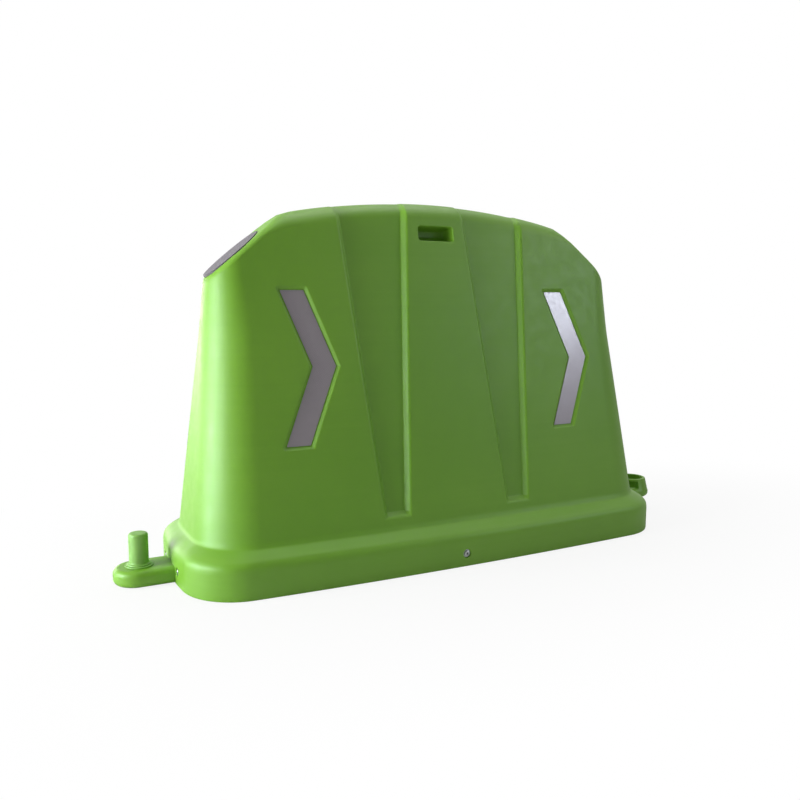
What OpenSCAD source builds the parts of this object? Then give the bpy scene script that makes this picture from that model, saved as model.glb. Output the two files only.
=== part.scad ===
// Moulded plastic road barrier: a hollow tapered hood over a heavy ballast slab,
// with a coupling pin at the left end and a coupling eye at the right end.
// X runs along the barrier, Z is up, the front faces -Y. Millimetres.
// The origin is the middle of the footprint, on the ground.

/* [Overall] */
// Length over both coupling lugs
overall_l = 1500; // [1460:1:1600]
// Width of the skirt at mid length
skirt_w = 465; // [450:1:500]
// Height of the crown at mid length
crown_h = 835; // [800:1:900]
// Thickness of the moulded wall
wall = 6; // [5:0.5:8]

/* [Skirt] */
// Length of the skirt at mid width
skirt_l = 1260; // [1245:1:1280]
// Plan radius of the skirt's corners
skirt_corner = 129; // [100:1:150]
// Height at which the sloping ledge meets the body
ledge_top = 95.6; // [90:0.2:110]
// Height of the ledge's outer shoulder
ledge_low = 84; // [78:0.5:88]
// Height at which the skirt's side starts to round over
skirt_side = 62; // [58:0.5:66]
// Radius of the bow of the skirt's long sides
skirt_bow = 9600; // [7000:100:20000]
// Radius of the bow of the skirt's ends
skirt_end_bow = 1087; // [900:1:2000]

/* [Body] */
// Body length where it meets the ledge
foot_l = 1189; // [1170:1:1210]
// Body width where it meets the ledge
foot_w = 389; // [370:1:400]
// Length that the tapered sides would reach at crown height
crown_l = 1040; // [1000:1:1080]
// Body width at crown height
crown_w = 88.5; // [84:0.5:110]
// Plan radius of the body's corners at the ledge
foot_corner = 121; // [100:1:130]
// Plan radius of the body's corners at crown height
crown_corner = 74; // [60:1:90]
// Radius of the bow of the body's faces
side_bow = 12300; // [9000:100:20000]
// Radius of the bow of the body's ends
end_bow = 1500; // [1200:10:3000]

/* [Crown] */
// Radius of the crown's long arc, seen from the front
crown_arc = 1830; // [1500:10:3000]
// Angle of the sloping end facets
facet_angle = 40.1; // [36:0.1:44]
// Distance of the facet's reference point from mid length
facet_x = 450; // [430:1:470]
// Height of the facet at its reference point
facet_z = 730.5; // [715:0.5:745]
// Softening of the bend between crown and facet
bend_soft = 4; // [2:1:30]
// Rounding of the crown's long edges
crown_round = 40; // [30:1:42]
// Rounding of the facet's edges
facet_round = 15; // [10:1:18]

/* [Channels] */
// Distance of each tapered channel from mid length
channel_x = 162.8; // [150:0.2:175]
// Half width of a channel at crown height
channel_top = 90.9; // [80:0.1:95]
// Half width of a channel at its foot
channel_foot = 31.4; // [26:0.1:40]
// Height of a channel's closed foot
channel_z = 124; // [118:1:160]
// Depth of a channel below the face
channel_depth = 13; // [10:0.5:16]
// Angle between a channel's wall and the face
channel_wall = 52; // [40:1:60]
// Rounding of a channel's outer edge
channel_lip_r = 8; // [5:0.5:9]
// Rounding along the edge of a channel's floor
channel_floor_r = 3; // [2:0.5:4]
// Drop of the crown line over a channel
channel_fall = 0.5; // [0.3:0.1:1]

/* [Hand pocket] */
// Width of the pocket's mouth
pocket_w = 94; // [90:1:110]
// Height of the pocket's mouth
pocket_h = 34; // [30:1:40]
// Depth of the pocket
pocket_depth = 38; // [30:1:39]
// Height of the pocket's middle
pocket_z = 762.5; // [750:0.5:765]
// Corner radius of the pocket
pocket_r = 7; // [5:0.5:12]

/* [Reflectors] */
// Width of a chevron's arm, measured level
chevron_arm = 54; // [50:0.2:60]
// Sideways reach of the chevron's tip
chevron_tip = 62.3; // [50:0.1:70]
// Sideways shift of the chevron's foot
chevron_foot = -9.5; // [-12:0.1:0]
// Rise of a chevron from its tip to its top
chevron_up = 165; // [150:0.5:175]
// Drop of a chevron from its tip to its foot
chevron_down = 167; // [150:0.5:180]
// Height of the chevron's tip
chevron_z = 463.2; // [455:0.2:475]
// Place of the left chevron's upper arm
chevron_left_x = -369.1; // [-380:0.1:-360]
// Place of the right chevron's upper arm
chevron_right_x = 334.4; // [325:0.1:345]
// Depth of a chevron's recess
chevron_depth = 7; // [4:0.5:8]
// Free margin round a chevron in its recess
chevron_margin = 4.5; // [2:0.5:6]
// Thickness of the reflective sheets
sheet_t = 1.2; // [1:0.1:2]
// Length of the oval end reflector along the facet
oval_l = 154; // [140:1:158]
// Width of the oval end reflector
oval_w = 98; // [90:1:110]
// Distance of the oval's middle from mid length
oval_x = 480; // [476:0.5:484]
// Depth of the oval's recess
oval_depth = 3.4; // [2:0.2:4]
// Free margin round the oval in its recess
oval_margin = 2; // [1:0.5:3]

/* [Coupling] */
// Radius of the rounded ends of both lugs
lug_r = 50; // [46:1:54]
// Rounding of the lugs' edges
lug_round = 13; // [8:0.5:13.5]
// Underside of the pin lug
pin_lug_z = 0.5; // [0.5:0.5:5]
// Thickness of the pin lug
pin_lug_t = 36.5; // [32:0.5:36.5]
// Distance of the coupling pin's axis from mid length
pin_x = 695.5; // [690:0.5:700]
// Diameter of the coupling pin
pin_d = 41; // [36:0.5:44]
// Height of the pin above its lug
pin_h = 72; // [60:1:90]
// Diameter of the lower collar at the pin's foot
collar_d = 60; // [56:0.5:64]
// Diameter of the upper collar at the pin's foot
collar_top_d = 51; // [47:0.5:54]
// Height of each collar step
collar_t = 3; // [2:0.5:4]
// Diameter of the pin's hidden spigot
spigot_d = 28; // [22:1:32]
// Length of the hidden spigot
spigot_l = 17; // [12:1:18]
// Underside of the eye lug
eye_lug_z = 38; // [38:0.5:44]
// Thickness of the eye lug
eye_lug_t = 28; // [27:0.5:30]
// Diameter of the eye
eye_d = 66; // [65:0.5:72]
// Outer diameter of the raised guard round the eye
guard_d = 94; // [88:1:96]
// Outer diameter of the guard at its top
guard_top_d = 81; // [76:1:90]
// Top of the raised guard
guard_z = 92; // [84:1:98]
// Width of the guard's opening towards the front
guard_gap = 60; // [50:1:66]
// Thickness of the web that the pin bolt clamps
bolt_web = 6; // [5:0.5:7]
// Distance of the upright flute from mid width
flute_y = 6; // [-10:1:12]
// Radius of the upright flute over the pin lug
flute_r = 24; // [16:1:30]
// Depth of the flute
flute_depth = 5; // [3:0.5:6]
// Width of the pad that backs the flute inside the skirt
flute_pad_w = 40; // [30:1:50]

/* [Ballast] */
// Height of the ballast slab
slab_h = 56; // [45:1:57]
// Free space between the slab and the skirt
slab_gap = 2; // [1:0.5:4]
// Bevel of the slab's upper edge
slab_bevel = 6; // [3:1:8]

/* [Fasteners] */
// Height of the side screws
screw_z = 30; // [26:1:34]
// Shift of the front screw from mid length towards the pin end
front_screw_x = 8; // [0:1:20]
// Distance of the end screws from mid width
screw_y = 63; // [62:1:72]
// Thread diameter of the side screws
screw_d = 8; // [6:0.5:9]
// Length of the side screws under the head
screw_l = 30; // [26:1:36]
// Head diameter of the side screws
screw_head_d = 14; // [12:0.5:15]
// Head height of the side screws
screw_head_h = 3.2; // [2.5:0.1:3.2]
// Width of the hexagon key recess
screw_key = 5; // [4:0.5:6]
// Washer diameter
washer_d = 18; // [16:0.5:19]
// Washer thickness
washer_t = 1.2; // [1:0.1:1.2]
// Width of the dimple that takes a screw head
dimple_d = 20; // [19:0.5:26]
// Depth of the dimple
dimple_depth = 4.6; // [4.5:0.1:5]
// Inner pad thickness behind a dimple
pad_t = 5; // [4:0.5:6]
// Outer diameter of the threaded inserts in the slab
insert_d = 14; // [12:0.5:16]
// Length of the threaded inserts in the slab
insert_l = 20; // [16:1:24]
// Thread diameter of the bolt that holds the pin
bolt_d = 10; // [8:0.5:11]
// Head width across flats of the pin bolt
bolt_af = 17; // [15:0.5:18]
// Head height of the pin bolt
bolt_head_h = 6.4; // [5:0.1:6.4]
// Length of the pin bolt under the head
bolt_l = 45; // [40:1:50]
// Washer diameter of the pin bolt
bolt_washer_d = 21; // [20:0.5:24]
// Washer thickness of the pin bolt
bolt_washer_t = 2; // [1.5:0.1:2.2]
// Diameter of the pin's threaded insert
pin_insert_d = 15; // [13:0.5:16]
// Length of the pin's threaded insert
pin_insert_l = 18; // [14:1:20]

/* [Clearances] */
// Radial clearance of a seated round part
seat_gap = 0.1; // [0.05:0.05:0.3]
// Radial clearance of a screw in its hole
hole_gap = 0.5; // [0.3:0.1:1]

/* [Hidden] */
$fn = 64;

green = [0.42, 0.66, 0.20];
steel = [0.72, 0.73, 0.75];
brass = [0.78, 0.62, 0.30];
rubber = [0.12, 0.12, 0.13];
silver = [0.60, 0.60, 0.63];

lug_x = overall_l/2 - lug_r;
taper = (foot_w - crown_w)/2/(crown_h - ledge_top);
tilt = atan(taper);
far = skirt_w;
pin_base_z = pin_lug_z + pin_lug_t;
// Underside of the web that the pin bolt pulls against
bolt_seat_z = pin_base_z - spigot_l - seat_gap - bolt_web;

// Steps along a quarter of the plan: half a long side, one corner, half an end
side_f = [0, 0.11, 0.22, 0.33, 0.44, 0.55, 0.65, 0.72, 0.78, 0.84, 0.92, 1];
corner_n = 8;
end_n = 3;
q_n = len(side_f) - 1 + corner_n + end_n;
ring_n = 4*q_n;

function lerp(a, b, t) = a + (b - a)*t;
function clamp01(t) = max(0, min(1, t));
function ease(t) = let (u = clamp01(t)) u*u*(3 - 2*u);

// Height of the crown's profile at distance x from mid length
function arc_z(x) = crown_h - crown_arc + sqrt(crown_arc*crown_arc - x*x);
function facet_line(x) = facet_z - tan(facet_angle)*(abs(x) - facet_x);
function top_z(x) =
    let (a = arc_z(x), f = facet_line(x), d = a - f)
    (a + f - sqrt(d*d + bend_soft*bend_soft))/2;

// Rounding of the top edge at distance x from mid length
function round_at(x) = lerp(crown_round, facet_round, ease((abs(x) - 345)/80));

// Quarter of a plan outline with bowed sides and ends, from the middle of the
// front to the middle of the right end
function quarter(a, b, r, r_side, r_end) =
    let (c1 = [0, r_side - b], c2 = [a - r_end, 0], v = c2 - c1, d = norm(v), e = v/d,
         q1 = r_side - r, q2 = r_end - r, m = (q1*q1 - q2*q2 + d*d)/(2*d),
         h = sqrt(max(0, q1*q1 - m*m)), cc = c1 + m*e - h*[e[1], -e[0]],
         t1 = atan2(cc[1] - c1[1], cc[0] - c1[0]), t2 = atan2(cc[1] - c2[1], cc[0] - c2[0]))
    concat([for (f = side_f) let (t = lerp(-90, t1, f)) c1 + r_side*[cos(t), sin(t)]],
           [for (i = [1:corner_n]) let (t = lerp(t1, t2, i/corner_n)) cc + r*[cos(t), sin(t)]],
           [for (i = [1:end_n]) let (t = lerp(t2, 0, i/end_n)) c2 + r_end*[cos(t), sin(t)]]);

function skirt_quarter(off) =
    quarter(skirt_l/2 - off, skirt_w/2 - off, skirt_corner - off, skirt_bow, skirt_end_bow);

// Half width and front face of the body at height z
function half_w(z) = foot_w/2 - taper*(z - ledge_top);
function face_y(x, z) = -half_w(z) + side_bow - sqrt(side_bow*side_bow - x*x);
end_rise = side_bow - sqrt(side_bow*side_bow - (crown_l/2 - crown_corner)*(crown_l/2 - crown_corner));

function body_quarter(z, off) =
    let (t = (z - ledge_top)/(crown_h - ledge_top), b = half_w(z),
         r = min(lerp(foot_corner, crown_corner, t), b - end_rise - 5))
    quarter(lerp(foot_l, crown_l, t)/2 - off, b - off, max(3, r - off), side_bow, end_bow);

// Height at which plan point i meets the crown, lowered by drop
function meet_z(i, off, drop, z, n = 5) =
    n == 0 ? z : meet_z(i, off, drop, top_z(body_quarter(z, off)[i][0]) - drop, n - 1);

function high_quarter(i, off, phi) =
    let (x0 = body_quarter(700, off)[i][0], rd = max(6, round_at(x0) - off),
         d = rd*(1 - cos(phi)), z = meet_z(i, off + d, off + rd*(1 - sin(phi)), 720))
    let (p = body_quarter(z, off + d)[i]) [p[0], p[1], z];

// A full ring from its quarter, counter-clockwise from the middle of the front
function mirror_ring(q) =
    [for (k = [0:ring_n - 1])
        k <= q_n ? q[k]
        : k <= 2*q_n ? let (p = q[2*q_n - k]) [p[0], -p[1], p[2]]
        : k <= 3*q_n ? let (p = q[k - 2*q_n]) [-p[0], -p[1], p[2]]
        : let (p = q[4*q_n - k]) [-p[0], p[1], p[2]]];

function flat_ring(q, z) = mirror_ring([for (p = q) [p[0], p[1], z]]);

// Quarter between the skirt and the foot of the body
function ledge_quarter(off, t) =
    let (s = skirt_quarter(off), b = body_quarter(ledge_top, off))
    [for (i = [0:q_n]) lerp(s[i], b[i], t)];

body_steps = [0.03, 0.4, 0.7, 0.87, 1];

function body_rings(off, steps, phis) = concat(
    [for (u = steps) mirror_ring([for (i = [0:q_n])
        let (top = high_quarter(i, off, 0), z = lerp(ledge_top, top[2], u), p = body_quarter(z, off)[i])
        [p[0], p[1], z]])],
    [for (phi = phis) mirror_ring([for (i = [0:q_n]) high_quarter(i, off, phi)])]);

function outer_rings() =
    let (rise = ledge_top - ledge_low, drop = ledge_low - skirt_side)
    concat([flat_ring(skirt_quarter(1.2), 0), flat_ring(skirt_quarter(0), 2.5),
            flat_ring(skirt_quarter(0), skirt_side)],
           [for (t = [[0.03, 0.34], [0.10, 0.6], [0.21, 0.82], [0.39, 1]])
               flat_ring(ledge_quarter(0, t[0]), skirt_side + drop*t[1])],
           [flat_ring(ledge_quarter(0, 0.88), ledge_low + rise*0.82),
            flat_ring(ledge_quarter(0, 1), ledge_top + rise*0.12)],
           body_rings(0, body_steps, [22.5, 45, 67.5, 90]));

function inner_rings() =
    let (rise = ledge_top - ledge_low, drop = ledge_low - skirt_side)
    concat([flat_ring(skirt_quarter(wall), -1), flat_ring(skirt_quarter(wall), skirt_side - 2),
            flat_ring(ledge_quarter(wall, 0.1), skirt_side + drop*0.5 - 2),
            flat_ring(ledge_quarter(wall, 0.35), ledge_low - wall),
            flat_ring(ledge_quarter(wall, 0.97), ledge_top + rise*0.1 - wall)],
           body_rings(wall, [0.04, 0.4, 0.62, 0.8, 1], [45, 90]));

// Every other point of a ring, for surfaces that no one sees
function sparse(rings) = [for (r = rings) [for (i = [0:2:len(r) - 1]) r[i]]];

// Closed solid through rings of equally many points, with plan-symmetric caps
module ring_loft(rings) {
    n = len(rings[0]);
    q = n/4;
    m = len(rings);
    points = [for (r = rings) each r];
    sides = [for (r = [0:m - 2], k = [0:n - 1])
        let (a = r*n + k, b = a + n, c = (r + 1)*n + (k + 1)%n, d = r*n + (k + 1)%n)
        each [[a, b, c], [a, c, d]]];
    function strip(a, b, c, d) = [for (t = [[a, b, c], [a, c, d]])
        if (t[0] != t[1] && t[1] != t[2] && t[0] != t[2]) t];
    function caps(o) = [for (k = [0:q - 1]) each concat(
        strip(o + k, o + k + 1, o + 2*q - k - 1, o + 2*q - k),
        strip(o + 2*q + k, o + 2*q + k + 1, o + n - k - 1, o + (n - k)%n))];
    bottom = caps(0);
    top = [for (t = caps((m - 1)*n)) [t[0], t[2], t[1]]];
    polyhedron(points = points, faces = concat(sides, top, bottom));
}

// Channel wall as [distance inside the outline, depth]: a soft lip, a sloping
// wall and a rounded floor edge; the second list is for the inside of the shell
lip_run = channel_lip_r*tan(channel_wall/2);
wall_run = channel_depth/tan(channel_wall);
floor_run = channel_floor_r*tan(channel_wall/2);
outer_lip = concat(
    [[-lip_run - 3, -1.5]],
    [for (a = [0:0.25:1]) let (t = a*channel_wall)
        [channel_lip_r*sin(t) - lip_run, channel_lip_r*(1 - cos(t))]],
    [[wall_run - floor_run*cos(channel_wall), channel_depth - floor_run*sin(channel_wall)],
     [wall_run + floor_run*0.1, channel_depth - floor_run*0.2],
     [wall_run + floor_run, channel_depth]]);
inner_lip = [[-6, -2], [-1, 0.8], [wall_run, channel_depth]];

// Tapered channel: a grid of points behind the face, closed towards the front.
// grow widens and deepens it for the inside of the shell.
module channel(cx, grow) {
    lip = grow > 0 ? inner_lip : outer_lip;
    slope = (channel_top - channel_foot)/(crown_h - channel_z);
    foot = channel_z - grow;
    last = len(lip) - 1;
    // Columns are [side, distance inside, depth]
    cols = concat([for (l = lip) [-1, l[0], l[1]]], [[0, 0, channel_depth]],
                  [for (i = [last:-1:0]) [1, lip[i][0], lip[i][1]]]);
    // Rows are [kind, value, depth]: kind 0 a height over the foot, 1 a share of the
    // straight length, 2 an angle of the rounded top edge, 3 the run-out above it
    rows = concat([for (l = lip) [0, l[0], l[1]]],
                  [for (u = [0.15, 0.45, 0.75, 1]) [1, u, channel_depth]],
                  [for (a = grow > 0 ? [45, 90] : [22.5, 45, 67.5, 90]) [2, a, channel_depth]],
                  [[3, 90, channel_depth]]);
    function pt(c, r) =
        let (side_x = cx + c[0]*(channel_top - 8 - c[1]),
             sunk = max(0, c[2]),
             rd = round_at(side_x) + (sunk > 0 ? 8 : 0) - sunk - grow,
             top = top_z(side_x) - grow - (sunk > 0 ? channel_fall : 0),
             start = foot + lip[last][0],
             z = r[0] == 0 ? foot + r[1]
                 : r[0] == 1 ? lerp(start, top - rd, r[1])
                 : top - rd*(1 - sin(r[1])),
             x = cx + c[0]*(channel_foot + slope*(z - channel_z) + grow*0.8 - c[1]),
             y = face_y(x, z) + min(c[2], r[2]) + grow)
        [x, y + (r[0] >= 2 ? rd*(1 - cos(r[1])) : 0), z + (r[0] == 3 ? 40 : 0)];
    nc = len(cols);
    nr = len(rows);
    n = nc*nr;
    grid = [for (r = rows, c = cols) pt(c, r)];
    flat = [for (p = grid) [p[0], -far, p[2]]];
    floor_faces = [for (j = [0:nr - 2], i = [0:nc - 2]) let (a = j*nc + i, b = a + nc)
        each (i < last ? [[a, a + 1, b + 1], [a, b + 1, b]] : [[a, a + 1, b], [a + 1, b + 1, b]])];
    front_faces = [for (j = [0:nr - 2], i = [0:nc - 2]) let (a = n + j*nc + i, b = a + nc)
        each [[a, b + 1, a + 1], [a, b, b + 1]]];
    function quad(a, b, c, d) = [[a, b, c], [a, c, d]];
    low = [for (i = [0:nc - 2]) each quad(i, n + i, n + i + 1, i + 1)];
    high = [for (i = [n - nc:n - 2]) each quad(i, i + 1, n + i + 1, n + i)];
    left = [for (j = [0:nr - 2]) let (a = j*nc) each quad(a, a + nc, n + a + nc, n + a)];
    right = [for (j = [1:nr - 1]) let (a = j*nc - 1) each quad(a, n + a, n + a + nc, a + nc)];
    polyhedron(points = concat(grid, flat),
               faces = concat(floor_faces, front_faces, low, high, left, right));
}

// Stack of outlines [points, depth], each with the same number of points, as a
// plug that reaches into the front face; local Y points into the barrier
module plug(layers) {
    n = len(layers[0][0]);
    m = len(layers);
    points = [for (l = layers) each [for (p = l[0]) [p[0], l[1], p[1]]]];
    sides = [for (r = [0:m - 2], k = [0:n - 1])
        let (a = r*n + k, b = a + n, c = (r + 1)*n + (k + 1)%n, d = r*n + (k + 1)%n)
        each [[a, c, b], [a, d, c]]];
    polyhedron(points = points, faces = concat(sides,
        [[for (k = [n - 1:-1:0]) k]], [[for (k = [0:n - 1]) (m - 1)*n + k]]));
}

// Outline moved outwards by d, with mitred corners
function grow_outline(p, d) =
    [for (i = [0:len(p) - 1])
        let (n = len(p), a = p[(i + n - 1)%n], b = p[i], c = p[(i + 1)%n],
             u = (b - a)/norm(b - a), v = (c - b)/norm(c - b),
             nu = [u[1], -u[0]], nv = [v[1], -v[0]], s = nu + nv)
        b + d*s*2/(s*s)];

chevron_outline = [
    [chevron_foot - chevron_arm/2, -chevron_down/cos(tilt)],
    [chevron_foot + chevron_arm/2, -chevron_down/cos(tilt)],
    [chevron_tip + chevron_arm/2, 0],
    [chevron_arm/2, chevron_up/cos(tilt)],
    [-chevron_arm/2, chevron_up/cos(tilt)],
    [chevron_tip - chevron_arm/2, 0]];

// Moves its children from the plane of the chevron to their place on the front
module on_face(x) {
    mid = x + chevron_tip/2;
    yaw = asin(mid/side_bow);
    translate([mid, face_y(mid, chevron_z), chevron_z]) rotate([0, 0, yaw])
        rotate([-tilt, 0, 0]) translate([-chevron_tip/2, 0, 0]) children();
}

module rear() {
    rotate([0, 0, 180]) children();
}

module chevron_recess(x) {
    o = grow_outline(chevron_outline, chevron_margin);
    on_face(x) plug([[grow_outline(o, 2.6), -12], [grow_outline(o, 2.6), -0.3],
                     [grow_outline(o, 1.1), 0.9], [grow_outline(o, 0.2), 2.6],
                     [grow_outline(o, -0.6), chevron_depth]]);
}

module chevron_back(x) {
    o = grow_outline(chevron_outline, chevron_margin + wall - 1);
    on_face(x) plug([[o, -4], [o, chevron_depth + wall]]);
}

module chevron_sheet(x) {
    color(silver) on_face(x) translate([0, chevron_depth, 0]) rotate([90, 0, 0])
        linear_extrude(sheet_t) polygon(chevron_outline);
}

function pocket_outline(d) =
    let (r = pocket_r + d, w = pocket_w/2 - pocket_r, h = pocket_h/2 - pocket_r)
    [for (q = [[1, -1, -90], [1, 1, 0], [-1, 1, 90], [-1, -1, 180]], i = [0:4])
        let (t = q[2] + i*22.5) [q[0]*w + r*cos(t), q[1]*h + r*sin(t)]];

module pocket() {
    translate([0, face_y(0, pocket_z), pocket_z])
        plug([[pocket_outline(2.6), -24], [pocket_outline(2.6), -7], [pocket_outline(0.4), 2],
              [pocket_outline(-0.6), 5], [pocket_outline(-1.6), pocket_depth - 3],
              [pocket_outline(-4), pocket_depth]]);
}

module pocket_back() {
    translate([0, face_y(0, pocket_z), pocket_z])
        plug([[pocket_outline(wall), -10], [pocket_outline(wall - 1.6), pocket_depth + wall]]);
}

// Moves its children onto the sloping facet of one end, side -1 left or 1 right
module on_facet(side) {
    translate([side*oval_x, 0, facet_line(oval_x)]) rotate([0, side*facet_angle, 0]) children();
}

module oval(l, w, t) {
    linear_extrude(t) polygon([for (i = [0:59]) [l/2*cos(6*i), w/2*sin(6*i)]]);
}

module oval_recess(side) {
    on_facet(side) translate([0, 0, -oval_depth])
        oval(oval_l + 2*oval_margin, oval_w + 2*oval_margin, 30);
}

module oval_sheet(side) {
    color(silver) on_facet(side) translate([0, 0, -oval_depth]) oval(oval_l, oval_w, sheet_t);
}

// Rounded profile of a lug: half width h, from z to z + t
module lug_profile(h, z, t) {
    r = lug_round;
    translate([0, z]) {
        square([h - r, t]);
        translate([0, r]) square([h, t - 2*r]);
        translate([h - r, r]) circle(r);
        translate([h - r, t - r]) circle(r);
    }
}

// Tongue with a round tip, from the skirt's end to lug_x; side -1 or 1
module lug(side, z, t) {
    root = skirt_l/2 - wall/2;
    translate([side*lug_x, 0, 0]) rotate_extrude() intersection() {
        lug_profile(lug_r, z, t);
        translate([0, -1]) square([lug_r + 1, crown_h]);
    }
    for (m = [0, 1]) mirror([0, m, 0]) mirror([side < 0 ? 1 : 0, 0, 0])
        translate([root, 0, 0]) rotate([90, 0, 90]) linear_extrude(lug_x - root)
            translate([-0.01, 0]) lug_profile(lug_r, z, t);
}

// Side screw places: point on the skirt's outside and direction into the slab
end_sag = skirt_end_bow - sqrt(skirt_end_bow*skirt_end_bow - screw_y*screw_y);
screw_x = skirt_l/2 - end_sag;
screw_places = [
    [[-front_screw_x, -skirt_w/2], 90], [[front_screw_x, skirt_w/2], -90],
    [[-screw_x, -screw_y], 0], [[-screw_x, screw_y], 0],
    [[screw_x, -screw_y], 180], [[screw_x, screw_y], 180]];

// Places its children at each side screw, local Z pointing into the barrier
module at_screws() {
    for (p = screw_places)
        translate([p[0][0], p[0][1], screw_z]) rotate([0, 0, p[1]]) rotate([0, 90, 0]) children();
}

insert_start = wall + pad_t + slab_gap/4;

module hood_mass() {
    difference() {
        ring_loft(outer_rings());
        for (s = [-1, 1]) {
            channel(s*channel_x, 0);
            rear() channel(s*channel_x, 0);
        }
        for (x = [chevron_left_x, chevron_right_x]) {
            chevron_recess(x);
            rear() chevron_recess(x);
        }
        pocket();
        rear() pocket();
    }
}

module hood_hollow() {
    difference() {
        ring_loft(sparse(inner_rings()));
        for (s = [-1, 1]) {
            channel(s*channel_x, wall);
            rear() channel(s*channel_x, wall);
        }
        for (x = [chevron_left_x, chevron_right_x]) {
            chevron_back(x);
            rear() chevron_back(x);
        }
        pocket_back();
        rear() pocket_back();
    }
}

module guard() {
    difference() {
        translate([lug_x, 0, eye_lug_z + eye_lug_t - 10])
            cylinder(d1 = guard_d + 4, d2 = guard_top_d, h = guard_z - eye_lug_z - eye_lug_t + 10);
        translate([lug_x - guard_gap/2, -guard_d, eye_lug_z + eye_lug_t])
            cube([guard_gap, guard_d, guard_z]);
    }
}

module hood() {
    color(green) difference() {
        union() {
            difference() {
                hood_mass();
                hood_hollow();
            }
            at_screws() translate([0, 0, wall/2]) cylinder(d = dimple_d + 2*wall, h = wall/2 + pad_t);
            translate([-skirt_l/2 + wall - 1, -flute_pad_w/2, pin_base_z - wall])
                cube([pad_t + 1, flute_pad_w, ledge_low - wall - pin_base_z]);
            lug(-1, pin_lug_z, pin_lug_t);
            lug(1, eye_lug_z, eye_lug_t);
            guard();
        }
        for (s = [-1, 1]) oval_recess(s);
        at_screws() {
            translate([0, 0, -5]) cylinder(d = dimple_d, h = dimple_depth + 5);
            cylinder(d = screw_d + 2*hole_gap, h = 40);
        }
        translate([lug_x, 0, 0]) cylinder(d = eye_d, h = 200);
        translate([-skirt_l/2 - flute_r + flute_depth, flute_y, pin_base_z]) cylinder(r = flute_r, h = 100);
        translate([-pin_x, 0, 0]) {
            translate([0, 0, pin_base_z - spigot_l - seat_gap])
                cylinder(d = spigot_d + 2*seat_gap, h = 50);
            translate([0, 0, -1]) cylinder(d = bolt_d + 2*hole_gap, h = 50);
            translate([0, 0, -1]) cylinder(d = bolt_washer_d + 4, h = bolt_seat_z + 1);
        }
    }
}

module coupling_pin() {
    r = pin_d/2;
    c1 = collar_d/2;
    c2 = collar_top_d/2;
    t = collar_t;
    color(green) translate([-pin_x, 0, pin_base_z]) difference() {
        rotate_extrude() union() {
            polygon([[0, 0], [c1, 0], [c1, t - 1], [c1 - 1, t], [c2, t], [c2, 2*t - 1], [c2 - 1, 2*t],
                     [r + 2.6, 2*t], [r + 1, 2*t + 1.2], [r, 2*t + 4], [r, pin_h - 5],
                     [r - 1.2, pin_h - 1.8], [r - 4, pin_h], [0, pin_h]]);
            translate([0, -spigot_l]) square([spigot_d/2, spigot_l + 1]);
        }
        translate([0, 0, -spigot_l - 1]) cylinder(d = bolt_d + 2*hole_gap, h = bolt_l + 2);
        translate([0, 0, -spigot_l - 1]) cylinder(d = pin_insert_d + 2*seat_gap, h = pin_insert_l + 1);
    }
}

module pin_insert() {
    color(brass) translate([-pin_x, 0, pin_base_z - spigot_l]) difference() {
        cylinder(d = pin_insert_d, h = pin_insert_l);
        translate([0, 0, -1]) cylinder(d = bolt_d + 2*seat_gap, h = pin_insert_l + 2);
    }
}

module pin_bolt() {
    z = bolt_seat_z - bolt_washer_t;
    color(steel) translate([-pin_x, 0, z]) {
        cylinder(d = bolt_d, h = bolt_l);
        translate([0, 0, -bolt_head_h]) cylinder(d = bolt_af/cos(30), h = bolt_head_h, $fn = 6);
    }
}

module pin_washer() {
    color(steel) translate([-pin_x, 0, bolt_seat_z - bolt_washer_t]) difference() {
        cylinder(d = bolt_washer_d, h = bolt_washer_t);
        translate([0, 0, -1]) cylinder(d = bolt_d + 2*seat_gap, h = bolt_washer_t + 2);
    }
}

module side_screws() {
    color(steel) at_screws() translate([0, 0, dimple_depth - washer_t]) difference() {
        union() {
            cylinder(d = screw_d, h = screw_l);
            translate([0, 0, -screw_head_h]) rotate_extrude()
                polygon([[0, 0], [screw_head_d/2 - 2.2, 0], [screw_head_d/2 - 0.5, 1.1],
                         [screw_head_d/2, 2.2], [screw_head_d/2, screw_head_h], [0, screw_head_h]]);
        }
        translate([0, 0, -screw_head_h - 1]) cylinder(d = screw_key/cos(30), h = 3, $fn = 6);
    }
}

module side_washers() {
    color(steel) at_screws() translate([0, 0, dimple_depth - washer_t]) difference() {
        cylinder(d = washer_d, h = washer_t);
        translate([0, 0, -1]) cylinder(d = screw_d + 2*seat_gap, h = washer_t + 2);
    }
}

module side_inserts() {
    color(brass) at_screws() translate([0, 0, insert_start]) difference() {
        cylinder(d = insert_d, h = insert_l);
        translate([0, 0, -1]) cylinder(d = screw_d + 2*seat_gap, h = insert_l + 2);
    }
}

module ballast_slab() {
    side = wall + slab_gap;
    color(rubber) difference() {
        ring_loft(sparse([flat_ring(skirt_quarter(side + 1.5), 0), flat_ring(skirt_quarter(side), 3),
                          flat_ring(skirt_quarter(side), slab_h - slab_bevel),
                          flat_ring(skirt_quarter(side + slab_bevel), slab_h)]));
        translate([-skirt_l/2, -flute_pad_w/2 - slab_gap, pin_base_z - wall - slab_gap])
            cube([wall + pad_t + slab_gap, flute_pad_w + 2*slab_gap, slab_h]);
        at_screws() {
            cylinder(d = dimple_d + 2*wall + 4, h = insert_start);
            cylinder(d = insert_d + 2*seat_gap, h = insert_start + insert_l + seat_gap);
            cylinder(d = screw_d + 2*hole_gap, h = dimple_depth + screw_l + 3);
        }
    }
}

module chevron_front_left() {
    chevron_sheet(chevron_left_x);
}

module chevron_front_right() {
    chevron_sheet(chevron_right_x);
}

module chevron_rear_left() {
    rear() chevron_sheet(chevron_left_x);
}

module chevron_rear_right() {
    rear() chevron_sheet(chevron_right_x);
}

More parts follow.
